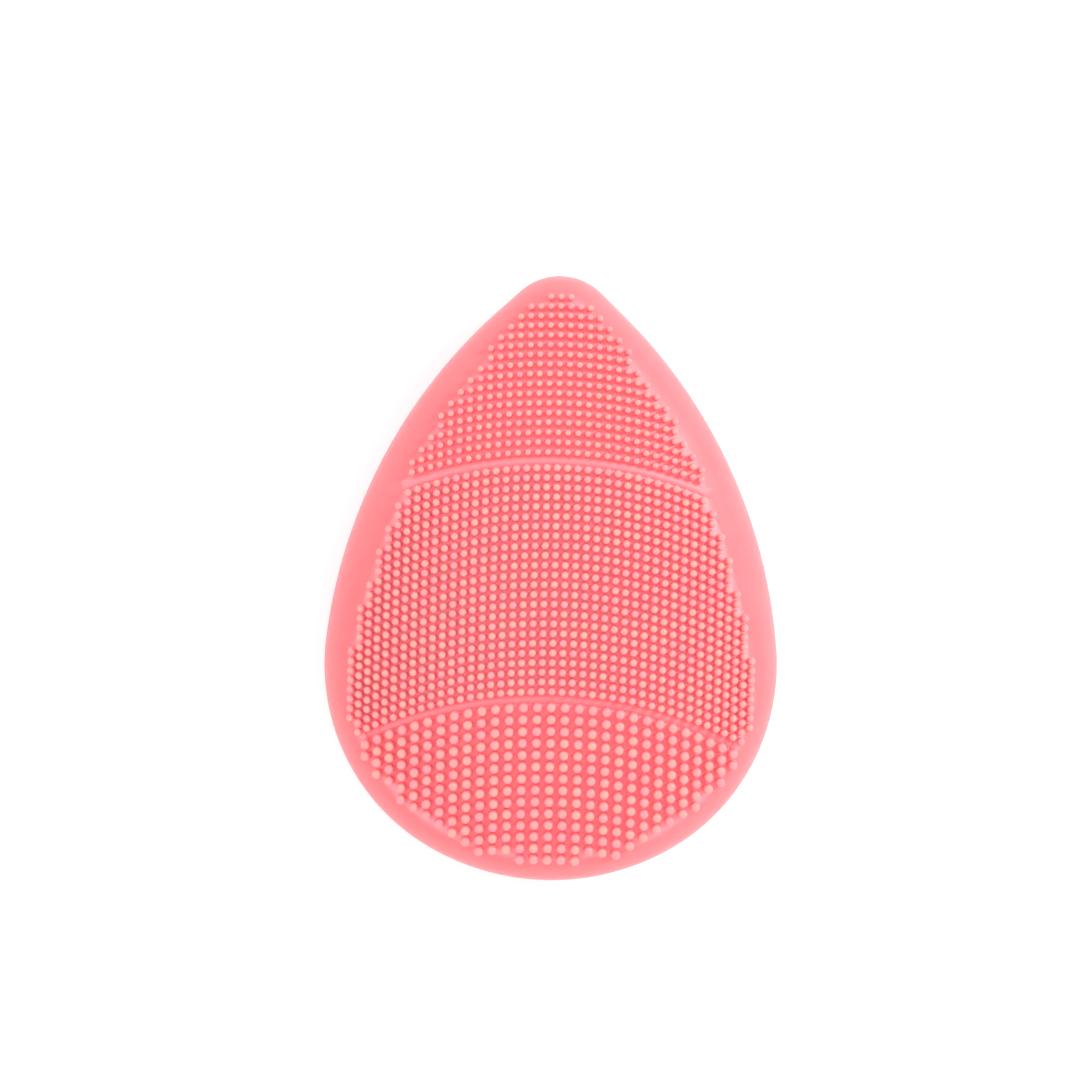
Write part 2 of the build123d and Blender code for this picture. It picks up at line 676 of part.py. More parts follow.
def motor_bushes():
    rear = along_y(BUSH_RADIUS, END_CAP_Y + 0.6, CAN_ENDS[0], z=MOTOR_Z)
    front = along_y(BUSH_RADIUS, CAN_ENDS[1] - BUSH_LENGTH, CAN_ENDS[1], z=MOTOR_Z)
    hole = along_y(SHAFT_RADIUS + SHAFT_CLEARANCE, 0, 50, z=MOTOR_Z)
    return group([rear - hole, front - hole])


def motor_magnets():
    ring = along_y(CAN_RADIUS - CAN_WALL, *MAGNET_ENDS, z=MOTOR_Z)
    ring = ring - along_y(MAGNET_INNER_RADIUS, *MAGNET_ENDS, z=MOTOR_Z)
    gap = MAGNET_GAP_HALF_WIDTH
    ring = ring - block((-gap, gap), MAGNET_ENDS, (MOTOR_Z - 9, MOTOR_Z + 9))
    return group(ring.solids())


def motor_brushes():
    ys = (CAN_ENDS[0], COMMUTATOR_ENDS[1] - 0.3)
    inner = COMMUTATOR_RADIUS + RUNNING_CLEARANCE
    half = 0.6
    return group([block(sorted((side * inner, side * (inner + 1.2))), ys, (MOTOR_Z - half, MOTOR_Z + half))
                  for side in (-1, 1)])


def motor_shaft():
    shaft = along_y(SHAFT_RADIUS, *SHAFT_ENDS, z=MOTOR_Z)
    return chamfer(shaft.faces().sort_by(Axis.Y)[-1].edges(), 0.15)


def motor_armature():
    """Three poles round the shaft, with winding slots between them."""
    core = along_y(ARMATURE_RADIUS, *ARMATURE_ENDS, z=MOTOR_Z)
    for angle in (30, 150, 270):
        reach = 2.9
        offset = (reach * math.cos(math.radians(angle)), reach * math.sin(math.radians(angle)))
        core = core - along_y(0.9, *ARMATURE_ENDS, x=offset[0], z=MOTOR_Z + offset[1])
    return core - along_y(SHAFT_RADIUS, 0, 50, z=MOTOR_Z)


def motor_commutator():
    ring = along_y(COMMUTATOR_RADIUS, *COMMUTATOR_ENDS, z=MOTOR_Z)
    return ring - along_y(SHAFT_RADIUS, 0, 50, z=MOTOR_Z)


def eccentric_weight():
    """A half disc that hangs under the shaft, on a round hub."""
    half_disc = along_y(WEIGHT_RADIUS, *WEIGHT_ENDS, z=MOTOR_Z) & below(MOTOR_Z)
    hub = along_y(WEIGHT_HUB_RADIUS, *WEIGHT_ENDS, z=MOTOR_Z)
    return half_disc + hub - along_y(SHAFT_RADIUS, 0, 50, z=MOTOR_Z)


def motor_damper():
    sleeve = along_y(DAMPER_RADIUS, *DAMPER_ENDS, z=MOTOR_Z)
    return sleeve - along_y(CAN_RADIUS, *DAMPER_ENDS, z=MOTOR_Z)


def clamp_screw_places():
    return [(side * CLAMP_SCREW_X, y) for y in CRADLE_YS for side in (-1, 1)]


def motor_clamps():
    clamps = []
    for y in CRADLE_YS:
        ys = (y - CRADLE_THICKNESS / 2, y + CRADLE_THICKNESS / 2)
        strap = along_y(DAMPER_RADIUS + CLAMP_THICKNESS, *ys, z=MOTOR_Z)
        ears = block((-CRADLE_HALF_WIDTH, CRADLE_HALF_WIDTH), ys, (MOTOR_Z, MOTOR_Z + CLAMP_THICKNESS))
        strap = strap + ears
        strap = (strap & above(MOTOR_Z)) - along_y(DAMPER_RADIUS, *ys, z=MOTOR_Z)
        for side in (-1, 1):
            strap = strap - upright(side * CLAMP_SCREW_X, y, CLAMP_SCREW_RADIUS, 0, FAR)
        clamps.append(strap)
    return group(clamps)


def clamp_screws():
    seat = MOTOR_Z + CLAMP_THICKNESS
    return group([screw(x, y, seat, CLAMP_SCREW_RADIUS, CLAMP_SHANK, CLAMP_HEAD_RADIUS, CLAMP_HEAD_HEIGHT,
                        head_up=True) for x, y in clamp_screw_places()])


def motor_lead(x):
    return along_y(0.4, BOARD_ENDS[1] - 2.5, END_CAP_Y, x=x, z=BOARD_TOP_Z + 0.4)


# ================================================================== write every sub-part
def sub_parts():
    parts = {
        "front_cover": front_cover(),
        "fine_bristles": bristles(FINE),
        "medium_bristles": bristles(MEDIUM),
        "coarse_bristles": bristles(COARSE),
        "rear_cover": rear_cover(),
        "front_housing": front_housing(),
        "rear_housing": rear_housing(),
        "housing_seal": housing_seal(),
        "case_screws": case_screws(),
        "circuit_board": circuit_board(),
        "board_screws": board_screws(),
        "controller_chip": controller_chip(),
        "charging_chip": charging_chip(),
        "board_capacitors": board_capacitors(),
        "board_inductor": board_inductor(),
        "indicator_leds": indicator_leds(),
        "light_guide": light_guide(),
        "button_boots": button_boots(),
        "battery_tray": battery_tray(),
        "tray_screws": tray_screws(),
        "battery_foam": battery_foam(),
        "battery_cell": battery_cell(),
        "battery_connector": battery_connector(),
        "charging_socket": charging_socket(),
        "socket_contacts": socket_contacts(),
        "socket_leads": socket_leads(),
        "socket_seal": socket_seal(),
        "motor_can": motor_can(),
        "motor_end_cap": motor_end_cap(),
        "motor_bushes": motor_bushes(),
        "motor_magnets": motor_magnets(),
        "motor_brushes": motor_brushes(),
        "motor_shaft": motor_shaft(),
        "motor_armature": motor_armature(),
        "motor_commutator": motor_commutator(),
        "eccentric_weight": eccentric_weight(),
        "motor_damper": motor_damper(),
        "motor_clamps": motor_clamps(),
        "clamp_screws": clamp_screws(),
        "motor_lead_red": motor_lead(2.5),
        "motor_lead_black": motor_lead(-2.5),
    }
    for colour, lead in lead_pair(battery_lead).items():
        parts["battery_lead_" + colour] = lead
    for name in BUTTONS:
        parts[name + "_button"] = button(name)
        parts[name + "_switch"] = switch_body(name)
        parts[name + "_plunger"] = switch_plunger(name)
    return parts


os.makedirs("parts", exist_ok=True)
for node, shape in sub_parts().items():
    export_step(shape, "parts/" + node + ".step")
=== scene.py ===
import json
import math
import random

import bmesh
import bpy
import numpy as np
from mathutils import Matrix, Vector


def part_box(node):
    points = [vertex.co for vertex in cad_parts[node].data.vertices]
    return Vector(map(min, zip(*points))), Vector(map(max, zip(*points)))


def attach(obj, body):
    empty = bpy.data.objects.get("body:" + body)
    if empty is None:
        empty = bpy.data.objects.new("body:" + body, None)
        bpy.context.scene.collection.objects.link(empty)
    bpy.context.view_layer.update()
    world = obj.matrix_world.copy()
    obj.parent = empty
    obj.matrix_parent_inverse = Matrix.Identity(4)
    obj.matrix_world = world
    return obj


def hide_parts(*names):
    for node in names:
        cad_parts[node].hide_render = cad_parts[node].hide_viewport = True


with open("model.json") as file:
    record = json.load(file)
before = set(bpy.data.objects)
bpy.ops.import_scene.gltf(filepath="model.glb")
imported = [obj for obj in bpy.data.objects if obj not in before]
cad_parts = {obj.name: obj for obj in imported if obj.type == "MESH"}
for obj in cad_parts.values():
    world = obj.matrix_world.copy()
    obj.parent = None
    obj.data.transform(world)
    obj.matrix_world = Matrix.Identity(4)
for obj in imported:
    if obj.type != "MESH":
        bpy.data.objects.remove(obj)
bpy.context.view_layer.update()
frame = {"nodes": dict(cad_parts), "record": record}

# A teardrop silicone cleansing brush lying on its flat back, seen from above.  The skins, the
# ridges, the bristles and the foam pad are modelled here; the hard parts are the frame's own
# nodes.  Lengths below are millimetres, and a mesh is scaled to metres as it is made.
MM = 0.001

# ------------------------------------------------------------------ outline and pod
# Tangent arcs down the right side, from the tip to the foot: (radius, degrees turned).
# A negative radius is hollow.  The foot's arc closes the chain on the centre line.
OUTLINE_ARCS = ((10.0, 44.7), (-200.0, 1.4), (90.8, 40.3), (35.3, 68.2))
THICKNESS = 28.8
FRONT_CROSS_RADIUS = 66.0
FRONT_LONG_RADIUS = 200.0
FRONT_RIM_RADIUS = 7.5
REAR_RIM_RADIUS = 9.5
PARTING_Z = 10.6
SKIN = 1.8
SEAM_ROUND = 0.3
MIDDLE_Y = -8.0             # where the skins' rings close
OUTLINE_STEP = 0.55         # longest step between the points round a skin

# ------------------------------------------------------------------ bristles and ridges
# crest of the first row, rows, row pitch, column pitch, bow radius, stem radius, height
FIELDS = {
    "fine": (46.92, 17, 1.625, 1.642, 76.7, 0.52, 2.2),
    "medium": (18.3, 24, 1.601, 1.68, 67.4, 0.62, 2.4),
    "coarse": (-21.17, 14, 1.966, 2.295, 67.2, 0.79, 2.6),
}
MOST_COLUMNS = 30           # on either side of the middle
# bare margin between the rim and the outermost bristles, at places along the brush: (y, margin)
MARGIN = ((-52.0, 3.6), (-24.0, 3.65), (-12.0, 5.0), (-5.0, 5.4), (0.0, 5.95), (14.0, 5.85),
          (17.5, 5.05), (26.0, 5.03), (35.0, 4.6), (37.5, 4.25), (45.0, 3.6), (52.0, 3.6))
STEM_SIDES = 16
STEM_LEAN = 0.035           # most that a tip stands off its root, each way
STEM_SHORTEST = 0.985       # share of the field's stem height
STEM_SINK = 0.03            # how far a root's edge goes into the skin
STEM_ROOT_SHARE = 1 / 3     # a stem's lowest part, which follows the slope of the skin

# crest and bow radius
RIDGES = {"upper_ridge": (19.6, 71.0), "lower_ridge": (-19.8, 67.3)}
RIDGE_HALF_WIDTH = 0.9
RIDGE_HEIGHT = 0.42
RIDGE_MARGIN = 5.2          # between the rim and a ridge's ends
RIDGE_STEP = 0.002          # radians, in the search for a ridge's ends
RIDGE_STATIONS = 160
RIDGE_SIDES = 15
RIDGE_FADE_FROM = 0.93      # share of its half length where a ridge starts to sink
RIDGE_SINK = 0.015          # how far a ridge's edges go into the skin
RIDGE_ROOT = 0.4            # depth of its middle below the skin

# painted light: how much paler the skin between the stems, the stems themselves and the ridges are painted,
# standing in for the light that the stems pass down
GLOW = {"fine": 0.55, "medium": 1.0, "coarse": 0.8, "ridge": 0.45}
GLOW_EDGE = 0.8             # width over which it starts, inside the bare margin

# ------------------------------------------------------------------ openings in the back
BUTTONS = {"power": (0.0, -14.0, 4.6), "plus": (11.0, -14.0, 3.2), "minus": (-11.0, -14.0, 3.2)}
BUTTON_CLEARANCE = 0.2
LIGHT_PLACES = ((-3.0, -3.0), (0.0, -3.0), (3.0, -3.0))
LIGHT_RADIUS = 0.6
SOCKET_Z = 7.4
SOCKET_OPENING_RADIUS = 2.3
LIP_ROUND = 0.35
OPENING_SIDES = 72
CUT_PAST = 1.0              # how far a cutter reaches past the skin

# ------------------------------------------------------------------ foam pad
FOAM_SIDES = 160
FOAM_CORNER = 8             # exponent of the pad's rounded-rectangle outline
FOAM_HOLLOW = 0.01          # share that its sides and ends pull in by
FOAM_EDGE = 0.02            # share that its edges round over by
FOAM_RINGS = (0.1, 0.3, 0.5, 0.7, 0.85, 0.95)

# ------------------------------------------------------------------ studio
FLOOR_HALF = 1.5            # metres
FLOOR_DROP = 0.0002         # metres
CAMERA_DISTANCE = 450.0
FRAME_WIDTH = 184.8         # what the picture spans at the camera's aim
SENSOR = 36.0


# ================================================================== mesh helpers
def new_piece(name, points, faces, body="casing", slot="silicone_skin", sharp=None):
    """A mesh object from points in millimetres, smooth except where it turns by more than `sharp`."""
    mesh = bpy.data.meshes.new(name)
    mesh.from_pydata((np.asarray(points, float) * MM).tolist(), [], faces)
    mesh.validate()
    mesh.shade_smooth()
    if sharp:
        mesh.set_sharp_from_angle(angle=math.radians(sharp))
    piece = bpy.data.objects.new(name, mesh)
    bpy.context.scene.collection.objects.link(piece)
    if body:
        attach(piece, body)
    return piece


def point_values(piece, label, values):
    """One number for each point of the mesh, for its material to read."""
    layer = piece.data.attributes.new(label, "FLOAT", "POINT")
    layer.data.foreach_set("value", np.array(values, np.float32))


def ring_faces(rings, sides, start=0):
    """Quads between each ring of `sides` points and the next."""
    faces = []
    for ring in range(rings - 1):
        low, high = start + ring * sides, start + (ring + 1) * sides
        for i in range(sides):
            j = (i + 1) % sides
            faces.append((low + i, low + j, high + j, high + i))
    return faces


def close_rings(rings, first, last):
    """Points and faces of a closed body: an end point, rings of equal length, and an end point."""
    sides = len(rings[0])
    points = np.vstack([*rings, [first], [last]])
    count = len(rings) * sides
    faces = ring_faces(len(rings), sides)
    for i in range(sides):
        j = (i + 1) % sides
        faces.append((count, j, i))
        faces.append((count + 1, count - sides + i, count - sides + j))
    return points, faces


def lathe(profile, sides, place=Matrix.Identity(4)):
    """Points and faces of a closed body turned about Z from (radius, height) pairs, bottom to top."""
    turns = [2 * math.pi * i / sides for i in range(sides)]
    rings = [[(r * math.cos(t), r * math.sin(t), z) for t in turns] for r, z in profile]
    points, faces = close_rings(np.array(rings), (0, 0, profile[0][1]), (0, 0, profile[-1][1]))
    return np.array([place @ Vector(p) for p in points]), faces


def outward(piece):
    """Turn a closed mesh's faces to face out."""
    work = bmesh.new()
    work.from_mesh(piece.data)
    bmesh.ops.recalc_face_normals(work, faces=work.faces)
    work.to_mesh(piece.data)
    work.free()


def cut(piece, tools, sharp):
    """Take each tool, a (points, faces) pair, out of the piece."""
    cutters = []
    for points, faces in tools:
        cutter = new_piece("cutter", points, faces, body=None)
        outward(cutter)
        step = piece.modifiers.new("cut", "BOOLEAN")
        step.operation = "DIFFERENCE"
        step.solver = "EXACT"
        step.object = cutter
        cutters.append(cutter)
    scene_state = bpy.context.evaluated_depsgraph_get()
    mesh = bpy.data.meshes.new_from_object(piece.evaluated_get(scene_state), depsgraph=scene_state)
    piece.modifiers.clear()
    piece.data = mesh
    mesh.shade_smooth()
    mesh.set_sharp_from_angle(angle=math.radians(sharp))
    for cutter in cutters:
        bpy.data.objects.remove(cutter)


# ================================================================== the pod's surfaces
def outline_arcs():
    """Right half of the outline: (centre x, centre y, radius, side, heading in, heading out)."""
    arcs = []
    x, y, heading = 0.0, 0.0, 0.0
    for radius, turn in OUTLINE_ARCS:
        side = 1 if radius > 0 else -1
        r = abs(radius)
        cx = x + side * r * math.sin(heading)
        cy = y - side * r * math.cos(heading)
        leaving = heading - side * math.radians(turn)
        arcs.append((cx, cy, r, side, heading, leaving))
        x = cx - side * r * math.sin(leaving)
        y = cy + side * r * math.cos(leaving)
        heading = leaving
    foot = -x / math.sin(heading)
    arcs.append((0.0, y - foot * math.cos(heading), foot, 1, heading, -math.pi))
    tip_y = (arcs[-1][2] - arcs[-1][1]) / 2
    return [(cx, cy + tip_y, r, side, h0, h1) for cx, cy, r, side, h0, h1 in arcs]


ARCS = outline_arcs()


def outline_points(step):
    """Points round the outline and their outward directions, from the tip down the right side."""
    right = []
    for cx, cy, r, side, start, end in ARCS:
        count = math.ceil(r * abs(end - start) / step)
        for i in range(count):
            heading = start + (end - start) * i / count
            out_x, out_y = -math.sin(heading), math.cos(heading)
            right.append((cx + side * r * out_x, cy + side * r * out_y, out_x, out_y))
    right.append((0.0, ARCS[-1][1] - ARCS[-1][2], 0.0, -1.0))
    left = [(-x, y, -out_x, out_y) for x, y, out_x, out_y in reversed(right[1:-1])]
    table = np.array(right + left)
    return table[:, :2], np.column_stack([table[:, 2:], np.zeros(len(table))])


def dome_height(x, y, inset=0.0):
    """Height of the barrel-shaped dome, or of the surface `inset` below it."""
    ring = FRONT_LONG_RADIUS - FRONT_CROSS_RADIUS
    reach = ring + np.sqrt((FRONT_CROSS_RADIUS - inset)**2 - x * x)
    return THICKNESS - FRONT_LONG_RADIUS + np.sqrt(reach**2 - y * y)


def dome_normals(x, y, inset=0.0):
    across = np.sqrt((FRONT_CROSS_RADIUS - inset)**2 - x * x)
    reach = FRONT_LONG_RADIUS - FRONT_CROSS_RADIUS + across
    along = np.sqrt(reach**2 - y * y)
    normals = np.column_stack([reach / along * x / across, y / along, np.ones(len(x))])
    return normals / np.linalg.norm(normals, axis=1)[:, None]


def rim_distance(x, y):
    """Distance inwards from the outline, and the outward direction there."""
    best = None
    for cx, cy, r, side, start, end in ARCS:
        dx, dy = abs(x) - cx, y - cy
        away = math.hypot(dx, dy)
        heading = math.atan2(-side * dx, side * dy)
        if heading > 1e-9:
            heading -= 2 * math.pi
        if min(start, end) <= heading <= max(start, end):
            inwards = side * (r - away)
            if best is None or inwards < best[0]:
                best = (inwards, side * math.copysign(dx, x * dx) / away, side * dy / away)
    return best


def face_height(x, y):
    """Height of the front skin: its dome, or the rounded rim round it."""
    inwards, out_x, out_y = rim_distance(x, y)
    short = FRONT_RIM_RADIUS - inwards
    cx, cy = x - short * out_x, y - short * out_y
    slope = cx * out_x / FRONT_CROSS_RADIUS + cy * out_y / FRONT_LONG_RADIUS
    if short <= FRONT_RIM_RADIUS * slope:
        return float(dome_height(x, y))
    return float(dome_height(cx, cy, FRONT_RIM_RADIUS)) + math.sqrt(FRONT_RIM_RADIUS**2 - short**2)


def raised(points, inset, z, out):
    """A ring at height z, `inset` inside the outline."""
    ring = np.column_stack([points, np.full(len(points), z)])
    return ring - inset * out


def front_rings(points, out, inset, fillet_steps, dome_steps):
    """Rings of the front skin's outer or inner surface, from its middle out to its wall."""
    centres = raised(points, FRONT_RIM_RADIUS, 0.0, out)
    centres[:, 2] = dome_height(centres[:, 0], centres[:, 1], FRONT_RIM_RADIUS)
    tops = dome_normals(centres[:, 0], centres[:, 1], FRONT_RIM_RADIUS)
    radius = FRONT_RIM_RADIUS - inset
    turn = np.arccos(np.clip((tops * out).sum(1), -1, 1))[:, None]
    contact = centres + radius * tops
    rings = []
    for i in range(1, dome_steps + 1):
        share = i / dome_steps
        ring = contact * share
        ring[:, 1] += MIDDLE_Y * (1 - share)
        ring[:, 2] = dome_height(ring[:, 0], ring[:, 1], inset)
        rings.append(ring)
    for i in range(1, fillet_steps + 1):
        share = i / fillet_steps
        direction = (np.sin((1 - share) * turn) * tops + np.sin(share * turn) * out) / np.sin(turn)
        rings.append(centres + radius * direction)
    return rings


def seam_rings(points, out, side):
    """Rings round a skin's edge at the parting line: its rounding, then its inner corner."""
    rings = []
    for a in (math.radians(d) for d in (0, 30, 60, 90)):
        z = PARTING_Z + side * SEAM_ROUND * (1 - math.sin(a))
        rings.append(raised(points, SEAM_ROUND * (1 - math.cos(a)), z, out))
    return rings + [raised(points, SKIN, PARTING_Z, out)]


def front_skin():
    points, out = outline_points(OUTLINE_STEP)
    outer = front_rings(points, out, 0.0, fillet_steps=14, dome_steps=44)
    inner = front_rings(points, out, SKIN, fillet_steps=6, dome_steps=24)
    rings = outer + seam_rings(points, out, 1) + inner[::-1]
    middle = (0, MIDDLE_Y, float(dome_height(0, MIDDLE_Y)))
    inside = (0, MIDDLE_Y, float(dome_height(0, MIDDLE_Y, SKIN)))
    points, faces = close_rings(rings, middle, inside)
    skin = new_piece("front_skin", points, faces, sharp=60)
    outward(skin)
    # painted light: the skin between the bristles is painted paler, by how far it lies among them
    point_values(skin, "inside", [painted_glow_share(x, y, z) for x, y, z in points])
    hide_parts("front_cover")
    return skin


def painted_glow_share(x, y, z):
    """How much painted glow a point of the skin gets as painted light between the bristles: 0 outside the
    fields, soft-edged.
    """
    edge = rim_distance(x, y)
    if z < PARTING_Z + SKIN or not edge:
        return 0.0
    share = min(1.0, max(0.0, (edge[0] - bare_margin(y)) / GLOW_EDGE))
    return share * GLOW[field_at(x, y)]


def field_at(x, y):
    """Which field a place on the face is in: the ridges part them."""
    above = [y + bow - math.sqrt(bow * bow - x * x) > crest for crest, bow in RIDGES.values()]
    return "fine" if above[0] else "medium" if above[1] else "coarse"


def rear_rings(points, out, inset, fillet_steps, flat_steps):
    """Rings of the rear skin's outer or inner surface, from its middle out to its wall."""
    centres = raised(points, REAR_RIM_RADIUS, REAR_RIM_RADIUS, out)
    radius = REAR_RIM_RADIUS - inset
    rings = []
    for i in range(1, flat_steps + 1):
        share = i / flat_steps
        ring = centres * share
        ring[:, 1] += MIDDLE_Y * (1 - share)
        ring[:, 2] = inset
        rings.append(ring)
    for i in range(1, fillet_steps + 1):
        turn = math.pi / 2 * i / fillet_steps
        rings.append(centres + radius * (math.sin(turn) * out - math.cos(turn) * np.array([0, 0, 1])))
    return rings


def lip_tool(x, y, radius):
    """A cutter for a round opening in the flat back, with its edge rounded over."""
    rounding = [(radius + LIP_ROUND * (1 - math.sin(a)), LIP_ROUND * (1 - math.cos(a)))
                for a in (math.radians(d) for d in (0, 15, 30, 45, 60, 75, 90))]
    profile = [(radius + LIP_ROUND + 0.05, -CUT_PAST), *rounding, (radius, SKIN + CUT_PAST)]
    return lathe(profile, OPENING_SIDES, Matrix.Translation((x, y, 0)))


def socket_tool():
    """A cutter for the socket's opening in the foot, widening towards the outside."""
    foot_y = ARCS[-1][1] - ARCS[-1][2]
    profile = [(SOCKET_OPENING_RADIUS, foot_y + 6.0), (SOCKET_OPENING_RADIUS, foot_y + 1.2),
               (SOCKET_OPENING_RADIUS + 0.08, foot_y + 0.7), (SOCKET_OPENING_RADIUS + 0.3, foot_y + 0.1),
               (SOCKET_OPENING_RADIUS + 0.8, foot_y - 2.0)]
    turned = [(r, -y) for r, y in profile]
    place = Matrix.Translation((0, 0, SOCKET_Z)) @ Matrix.Rotation(math.radians(90), 4, "X")
    return lathe(turned, OPENING_SIDES, place)


def rear_skin():
    points, out = outline_points(OUTLINE_STEP)
    outer = rear_rings(points, out, 0.0, fillet_steps=16, flat_steps=20)
    inner = rear_rings(points, out, SKIN, fillet_steps=8, flat_steps=10)
    rings = outer + seam_rings(points, out, -1) + inner[::-1]
    skin = new_piece("rear_skin", *close_rings(rings, (0, MIDDLE_Y, 0), (0, MIDDLE_Y, SKIN)))
    outward(skin)
    tools = [lip_tool(x, y, radius + BUTTON_CLEARANCE) for x, y, radius in BUTTONS.values()]
    tools += [lip_tool(x, y, LIGHT_RADIUS) for x, y in LIGHT_PLACES]
    tools.append(socket_tool())
    cut(skin, tools, sharp=40)
    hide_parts("rear_cover")
    return skin


# ================================================================== foam under the battery
def foam_pad():
    """A thin pad with full, rounded edges, a little hollow along its sides."""
    low, high = (np.array(corner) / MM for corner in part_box("battery_foam"))
    centre, half = (low + high) / 2, (high - low) / 2

    def ring(share, swell):
        points = []
        for i in range(FOAM_SIDES):
            t = 2 * math.pi * i / FOAM_SIDES
            c, s = math.cos(t), math.sin(t)
            square = (abs(c)**FOAM_CORNER + abs(s)**FOAM_CORNER)**(-1 / FOAM_CORNER)
            reach = square * share * (1 - FOAM_HOLLOW * math.cos(2 * t)**2)
            points.append((c * reach * half[0], s * reach * half[1], swell * half[2]))
        return np.array(points) + centre

    edge = [(1 - FOAM_EDGE * (1 - math.cos(a)), math.sin(a))
            for a in (math.radians(d) for d in range(-90, 91, 18))]
    rings = [ring(share, -1.0) for share in FOAM_RINGS] + [ring(*pair) for pair in edge]
    rings += [ring(share, 1.0) for share in FOAM_RINGS[::-1]]
    points, faces = close_rings(rings, centre - (0, 0, half[2]), centre + (0, 0, half[2]))
    pad = new_piece("foam_pad", points, faces, slot="foam_grey")
    outward(pad)
    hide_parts("battery_foam")
    return pad


# ================================================================== ridges
def ridge(name, crest, bow):
    """A low rounded band across the dome that follows the bow of the rows and sinks at its ends."""
    def on_bow(turn, across=0.0):
        radius = bow + RIDGE_HALF_WIDTH * across
        return radius * math.sin(turn), crest - bow + radius * math.cos(turn)

    reach = 0.0
    while rim_distance(*on_bow(reach))[0] > RIDGE_MARGIN:
        reach += RIDGE_STEP
    points, ridge_painted_glow = [], []
    for i in range(RIDGE_STATIONS + 1):
        place = 2 * i / RIDGE_STATIONS - 1
        turn = reach * place
        fade = 1 - max(0.0, (abs(place) - RIDGE_FADE_FROM) / (1 - RIDGE_FADE_FROM))**2
        # painted light: the ridge is painted paler, less so towards its ends
        ridge_painted_glow.append(GLOW["ridge"] * fade)
        for j in range(RIDGE_SIDES):
            across = 2 * j / (RIDGE_SIDES - 1) - 1
            x, y = on_bow(turn, across)
            lift = RIDGE_HEIGHT * fade * (1 - across**2)
            points.append((x, y, face_height(x, y) + lift - RIDGE_SINK))
        x, y = on_bow(turn)
        points.append((x, y, face_height(x, y) - RIDGE_ROOT))
    width = RIDGE_SIDES + 1
    faces = ring_faces(RIDGE_STATIONS + 1, width)
    faces.append(tuple(range(width))[::-1])
    faces.append(tuple(range(RIDGE_STATIONS * width, (RIDGE_STATIONS + 1) * width)))
    piece = new_piece(name, points, faces, sharp=60)
    outward(piece)
    point_values(piece, "inside", np.repeat(ridge_painted_glow, width))
    return piece


# ================================================================== bristles
def bare_margin(y):
    """Width of the bare margin at y, in straight lines between the places in MARGIN."""
    for (y0, m0), (y1, m1) in zip(MARGIN, MARGIN[1:]):
        if y0 <= y <= y1:
            return m0 + (m1 - m0) * (y - y0) / (y1 - y0)
    return MARGIN[0][1]


def row_places(field, row):
    """Where one row's bristles stand: on a bow, in columns spaced evenly round the dome."""
    crest, _, row_pitch, column_pitch, bow = field[:5]
    places = []
    for column in range(-MOST_COLUMNS, MOST_COLUMNS + 1):
        x = FRONT_CROSS_RADIUS * math.sin(column * column_pitch / FRONT_CROSS_RADIUS)
        y = crest - row * row_pitch - (bow - math.sqrt(bow * bow - x * x))
        edge = rim_distance(x, y)
        if edge and edge[0] >= bare_margin(y):
            places.append((x, y))
    return places


def stem_profile(radius, height):
    """(radius, height, how far up it counts as) from the flared root to the softly crowned tip."""
    root, waist, neck, tip = 1.04 * radius, 1.02 * radius, 0.985 * radius, 0.97 * radius
    flare, crown = 0.2 * radius, 0.55 * radius
    blunt = 0.8             # 1 makes an even dome, and less makes it flatter on top
    profile = [(root + flare * (1 - math.sin(a)), flare * (1 - math.cos(a)))
               for a in (math.radians(d) for d in (0, 30, 60, 90))]
    profile += [(waist, 0.45 * height), (neck, 0.72 * height)]
    profile += [(tip * math.cos(a)**blunt, height - crown + crown * math.sin(a))
                for a in (math.radians(d) for d in (0, 18, 36, 53, 68, 81))]
    return [(r, z, z / height) for r, z in profile]


def bristle_row(name, field, places, radius, height, chance):
    """One row of stems, each with its own slight lean, height and tint."""
    node = f"{field}_bristles"
    profile = stem_profile(radius, height)
    turns = [2 * math.pi * i / STEM_SIDES for i in range(STEM_SIDES)]
    points, faces, rise, tint = [], [], [], []
    for x, y in places:
        start = len(points)
        foot = face_height(x, y)
        lean_x = chance.uniform(-STEM_LEAN, STEM_LEAN)
        lean_y = chance.uniform(-STEM_LEAN, STEM_LEAN)
        stretch = chance.uniform(STEM_SHORTEST, 1.0)
        shade = chance.random()
        for r, z, up in profile:
            for t in turns:
                px, py = x + r * math.cos(t), y + r * math.sin(t)
                free = min(1.0, up / STEM_ROOT_SHARE)
                on_skin = face_height(px, py) - STEM_SINK
                pz = free * (foot + z * stretch) + (1 - free) * (on_skin + z)
                points.append((px + lean_x * up, py + lean_y * up, pz))
                rise.append(up)
        points.append((x + lean_x, y + lean_y, foot + height * stretch))
        rise.append(1.0)
        tint += [shade] * (len(points) - start)
        faces += ring_faces(len(profile), STEM_SIDES, start)
        last = start + (len(profile) - 1) * STEM_SIDES
        faces += [(last + i, last + (i + 1) % STEM_SIDES, len(points) - 1) for i in range(STEM_SIDES)]
    piece = new_piece(name, points, faces)
    point_values(piece, "rise", rise)
    point_values(piece, "tint", tint)
    # painted light: the stems get the paler painted glow colour below their tips
    point_values(piece, "inside", [GLOW[field]] * len(points))
    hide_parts(node)
    return piece


def bristle_field(name):
    """The rows of one field, from the tip's side to the foot's."""
    field = FIELDS[name]
    row_count, radius, height = field[1], *field[5:]
    chance = random.Random(name)
    rows = []
    for row in range(row_count):
        places = row_places(field, row)
        if places:
            rows.append(bristle_row(f"{name}_row_{row + 1:02d}", name, places, radius, height, chance))
    return rows


